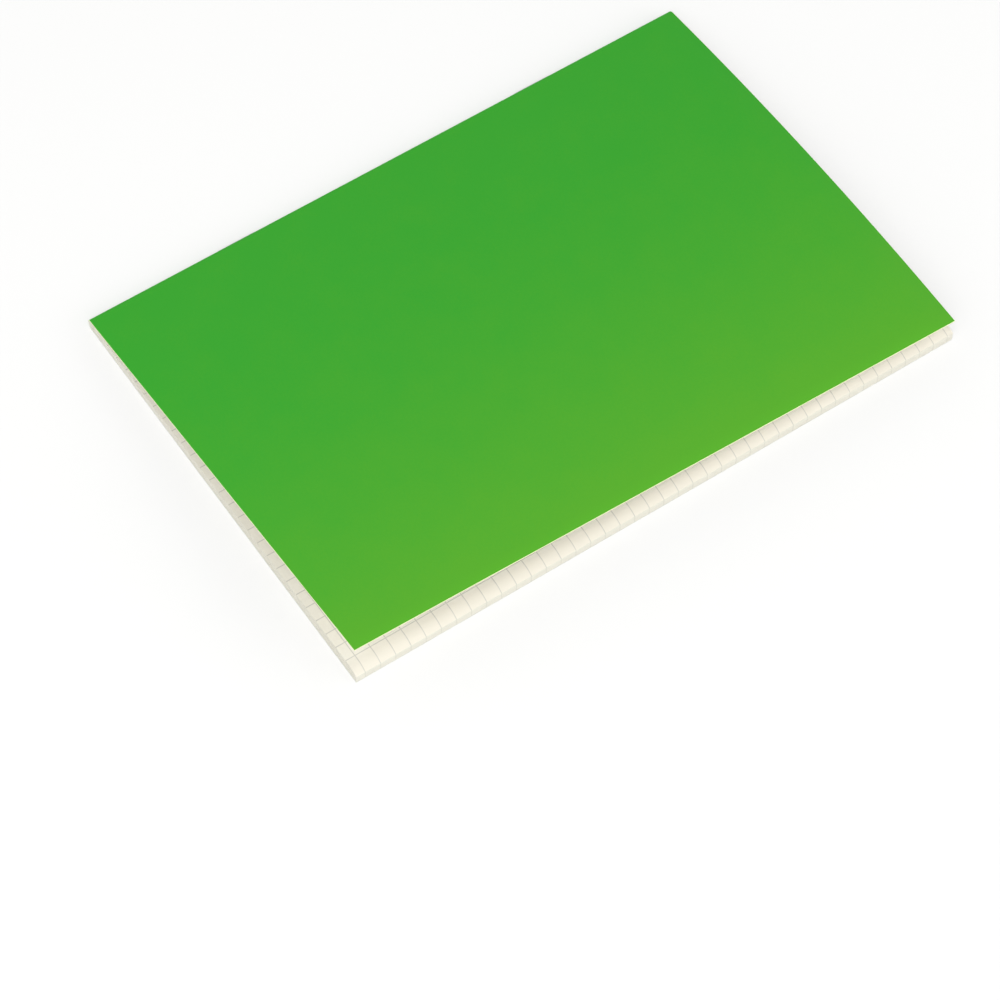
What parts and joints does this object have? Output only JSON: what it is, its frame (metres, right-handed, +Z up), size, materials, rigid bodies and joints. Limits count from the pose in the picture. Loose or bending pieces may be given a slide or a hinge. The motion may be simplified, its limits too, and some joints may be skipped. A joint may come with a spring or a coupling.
{
  "type": "exercise book",
  "caption": "Slim stapled exercise book of squared paper in a sprung card cover. The cover folds back at its crease, and the book opens flat at its middle fold.",
  "frame": {"origin": "middle of the closed book's footprint, on the surface that the back cover lies on", "axes": "+X from the spine to the fore-edge, +Y from the foot to the head, +Z up through the pages to the front cover"},
  "size_m": [0.1414, 0.205, 0.0169],
  "materials": {
    "cover_card": "printed green card, satin, white inside and at its cut edges",
    "page_paper": "uncoated cream-white writing paper, printed with grey 5 mm squares",
    "staple_wire": "bright galvanised stitching wire"
  },
  "bodies": {
    "back_half": {"back_cover": "cover_card", "sheet_01_back_leaf": "page_paper", "sheet_02_back_leaf": "page_paper", "sheet_03_back_leaf": "page_paper", "sheet_04_back_leaf": "page_paper", "sheet_05_back_leaf": "page_paper", "sheet_06_back_leaf": "page_paper", "sheet_07_back_leaf": "page_paper", "sheet_08_back_leaf": "page_paper", "sheet_09_back_leaf": "page_paper", "sheet_10_back_leaf": "page_paper", "sheet_11_back_leaf": "page_paper", "sheet_12_back_leaf": "page_paper", "sheet_13_back_leaf": "page_paper", "sheet_14_back_leaf": "page_paper", "sheet_15_back_leaf": "page_paper", "sheet_16_back_leaf": "page_paper"},
    "front_cover": {"front_cover": "cover_card"},
    "binding": {"staples": "staple_wire", "cover_spine": "cover_card", "sheet_01_fold": "page_paper", "sheet_02_fold": "page_paper", "sheet_03_fold": "page_paper", "sheet_04_fold": "page_paper", "sheet_05_fold": "page_paper", "sheet_06_fold": "page_paper", "sheet_07_fold": "page_paper", "sheet_08_fold": "page_paper", "sheet_09_fold": "page_paper", "sheet_10_fold": "page_paper", "sheet_11_fold": "page_paper", "sheet_12_fold": "page_paper", "sheet_13_fold": "page_paper", "sheet_14_fold": "page_paper", "sheet_15_fold": "page_paper", "sheet_16_fold": "page_paper"},
    "front_leaf_01": {"sheet_01_front_leaf": "page_paper", "cover_hinge_strip": "cover_card"},
    "front_leaf_02": {"sheet_02_front_leaf": "page_paper"},
    "front_leaf_03": {"sheet_03_front_leaf": "page_paper"},
    "front_leaf_04": {"sheet_04_front_leaf": "page_paper"},
    "front_leaf_05": {"sheet_05_front_leaf": "page_paper"},
    "front_leaf_06": {"sheet_06_front_leaf": "page_paper"},
    "front_leaf_07": {"sheet_07_front_leaf": "page_paper"},
    "front_leaf_08": {"sheet_08_front_leaf": "page_paper"},
    "front_leaf_09": {"sheet_09_front_leaf": "page_paper"},
    "front_leaf_10": {"sheet_10_front_leaf": "page_paper"},
    "front_leaf_11": {"sheet_11_front_leaf": "page_paper"},
    "front_leaf_12": {"sheet_12_front_leaf": "page_paper"},
    "front_leaf_13": {"sheet_13_front_leaf": "page_paper"},
    "front_leaf_14": {"sheet_14_front_leaf": "page_paper"},
    "front_leaf_15": {"sheet_15_front_leaf": "page_paper"},
    "front_leaf_16": {"sheet_16_front_leaf": "page_paper"}
  },
  "joints": [
    {"name": "opening", "type": "hinge", "parent": "back_half", "child": "front_leaf_01", "pos_m": [-0.06833, 0, 0.00196], "axis": [0, -1, 0], "range_deg": [0, 173]},
    {"name": "cover_turn", "type": "hinge", "parent": "front_leaf_01", "child": "front_cover", "pos_m": [-0.06488, 0, 0.00464], "axis": [0, -1, 0], "range_deg": [0, 175]},
    {"name": "binding_turn", "type": "hinge", "parent": "back_half", "child": "binding", "pos_m": [-0.06833, 0, 0.00196], "axis": [0, -1, 0], "range_deg": [0, 86.5], "deforming": ["cover_spine", "sheet_01_fold", "sheet_02_fold", "sheet_03_fold", "sheet_04_fold", "sheet_05_fold", "sheet_06_fold", "sheet_07_fold", "sheet_08_fold", "sheet_09_fold", "sheet_10_fold", "sheet_11_fold", "sheet_12_fold", "sheet_13_fold", "sheet_14_fold", "sheet_15_fold", "sheet_16_fold"]},
    {"name": "leaf_02_turn", "type": "hinge", "parent": "back_half", "child": "front_leaf_02", "pos_m": [-0.06833, 0, 0.00196], "axis": [0, -1, 0], "range_deg": [0, 172.95]},
    {"name": "leaf_03_turn", "type": "hinge", "parent": "back_half", "child": "front_leaf_03", "pos_m": [-0.06833, 0, 0.00196], "axis": [0, -1, 0], "range_deg": [0, 172.9]},
    {"name": "leaf_04_turn", "type": "hinge", "parent": "back_half", "child": "front_leaf_04", "pos_m": [-0.06833, 0, 0.00196], "axis": [0, -1, 0], "range_deg": [0, 172.85]},
    {"name": "leaf_05_turn", "type": "hinge", "parent": "back_half", "child": "front_leaf_05", "pos_m": [-0.06833, 0, 0.00196], "axis": [0, -1, 0], "range_deg": [0, 172.8]},
    {"name": "leaf_06_turn", "type": "hinge", "parent": "back_half", "child": "front_leaf_06", "pos_m": [-0.06833, 0, 0.00196], "axis": [0, -1, 0], "range_deg": [0, 172.75]},
    {"name": "leaf_07_turn", "type": "hinge", "parent": "back_half", "child": "front_leaf_07", "pos_m": [-0.06833, 0, 0.00196], "axis": [0, -1, 0], "range_deg": [0, 172.7]},
    {"name": "leaf_08_turn", "type": "hinge", "parent": "back_half", "child": "front_leaf_08", "pos_m": [-0.06833, 0, 0.00196], "axis": [0, -1, 0], "range_deg": [0, 172.65]},
    {"name": "leaf_09_turn", "type": "hinge", "parent": "back_half", "child": "front_leaf_09", "pos_m": [-0.06833, 0, 0.00196], "axis": [0, -1, 0], "range_deg": [0, 172.6]},
    {"name": "leaf_10_turn", "type": "hinge", "parent": "back_half", "child": "front_leaf_10", "pos_m": [-0.06833, 0, 0.00196], "axis": [0, -1, 0], "range_deg": [0, 172.55]},
    {"name": "leaf_11_turn", "type": "hinge", "parent": "back_half", "child": "front_leaf_11", "pos_m": [-0.06833, 0, 0.00196], "axis": [0, -1, 0], "range_deg": [0, 172.5]},
    {"name": "leaf_12_turn", "type": "hinge", "parent": "back_half", "child": "front_leaf_12", "pos_m": [-0.06833, 0, 0.00196], "axis": [0, -1, 0], "range_deg": [0, 172.45]},
    {"name": "leaf_13_turn", "type": "hinge", "parent": "back_half", "child": "front_leaf_13", "pos_m": [-0.06833, 0, 0.00196], "axis": [0, -1, 0], "range_deg": [0, 172.4]},
    {"name": "leaf_14_turn", "type": "hinge", "parent": "back_half", "child": "front_leaf_14", "pos_m": [-0.06833, 0, 0.00196], "axis": [0, -1, 0], "range_deg": [0, 172.35]},
    {"name": "leaf_15_turn", "type": "hinge", "parent": "back_half", "child": "front_leaf_15", "pos_m": [-0.06833, 0, 0.00196], "axis": [0, -1, 0], "range_deg": [0, 172.3]},
    {"name": "leaf_16_turn", "type": "hinge", "parent": "back_half", "child": "front_leaf_16", "pos_m": [-0.06833, 0, 0.00196], "axis": [0, -1, 0], "range_deg": [0, 172.25]}
  ],
  "couplings": [
    {"joint": "binding_turn", "follows": "opening", "ratio": 0.5},
    {"joint": "leaf_02_turn", "follows": "opening", "ratio": 0.99971},
    {"joint": "leaf_03_turn", "follows": "opening", "ratio": 0.99942},
    {"joint": "leaf_04_turn", "follows": "opening", "ratio": 0.99913},
    {"joint": "leaf_05_turn", "follows": "opening", "ratio": 0.99884},
    {"joint": "leaf_06_turn", "follows": "opening", "ratio": 0.99855},
    {"joint": "leaf_07_turn", "follows": "opening", "ratio": 0.99827},
    {"joint": "leaf_08_turn", "follows": "opening", "ratio": 0.99798},
    {"joint": "leaf_09_turn", "follows": "opening", "ratio": 0.99769},
    {"joint": "leaf_10_turn", "follows": "opening", "ratio": 0.9974},
    {"joint": "leaf_11_turn", "follows": "opening", "ratio": 0.99711},
    {"joint": "leaf_12_turn", "follows": "opening", "ratio": 0.99682},
    {"joint": "leaf_13_turn", "follows": "opening", "ratio": 0.99653},
    {"joint": "leaf_14_turn", "follows": "opening", "ratio": 0.99624},
    {"joint": "leaf_15_turn", "follows": "opening", "ratio": 0.99595},
    {"joint": "leaf_16_turn", "follows": "opening", "ratio": 0.99567}
  ]
}
